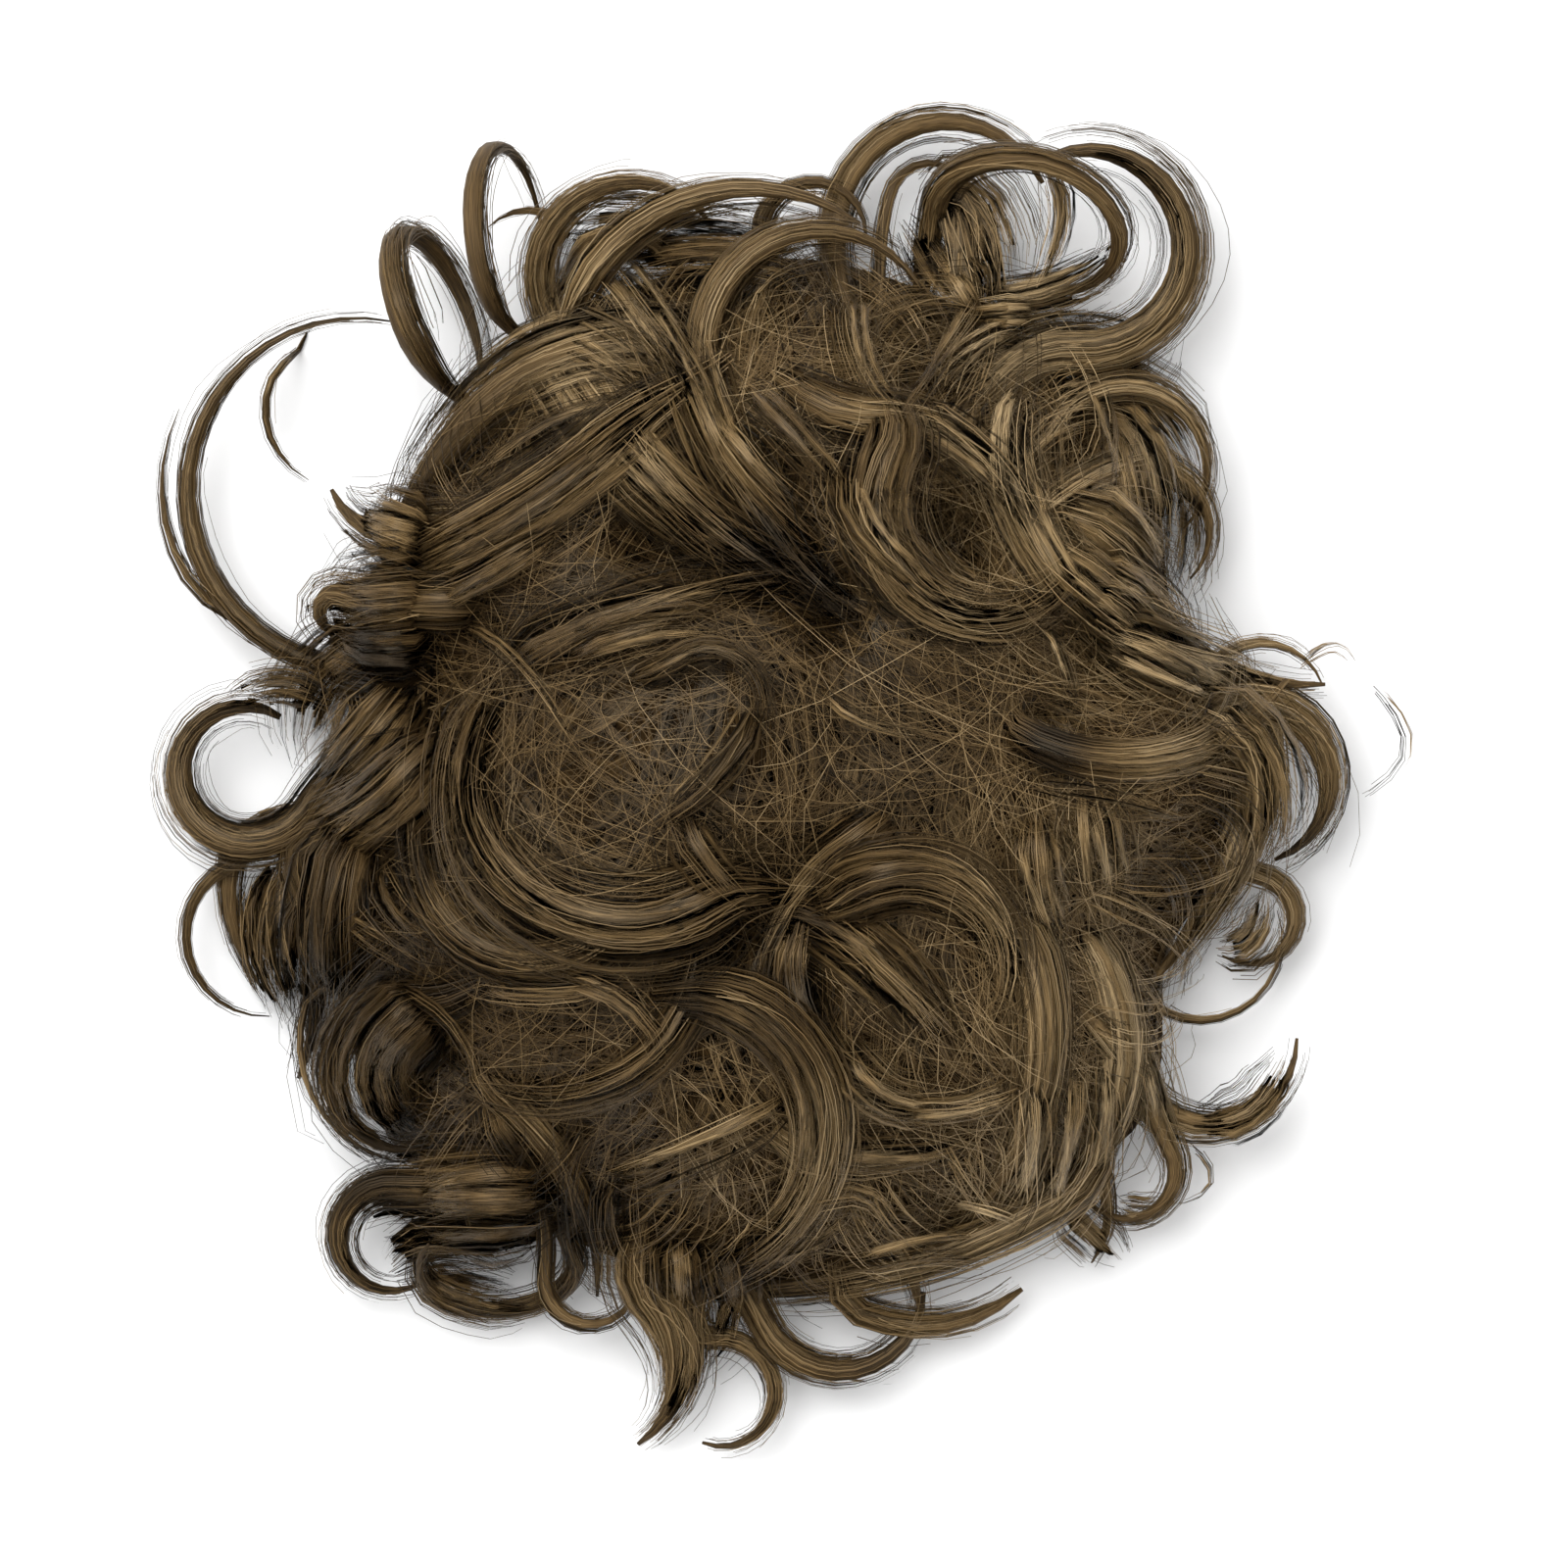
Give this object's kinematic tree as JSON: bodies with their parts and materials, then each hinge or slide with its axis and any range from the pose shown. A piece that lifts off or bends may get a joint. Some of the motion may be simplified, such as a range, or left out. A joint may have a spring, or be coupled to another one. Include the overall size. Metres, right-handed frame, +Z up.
{
  "type": "wiglet",
  "caption": "Small curly hairpiece: a domed net base with a bound edge and a comb, under a round pile of loose brown curls with stray locks.",
  "frame": {"origin": "bottom centre of the whole box, on the surface the wiglet lies on", "axes": "+Z up out of the top of the curls, +Y towards the top of the picture, away from the comb"},
  "size_m": [0.204, 0.2306, 0.0649],
  "materials": {
    "net": "fine brown wig net, matt",
    "ribbon": "woven brown ribbon, dull sheen",
    "comb": "moulded dark brown plastic, smooth",
    "hair": "ash brown hair with lighter strands, soft gloss"
  },
  "bodies": {
    "root": {"base_cap": "net", "edge_binding": "ribbon", "comb": "comb", "hair": "hair"}
  },
  "joints": []
}
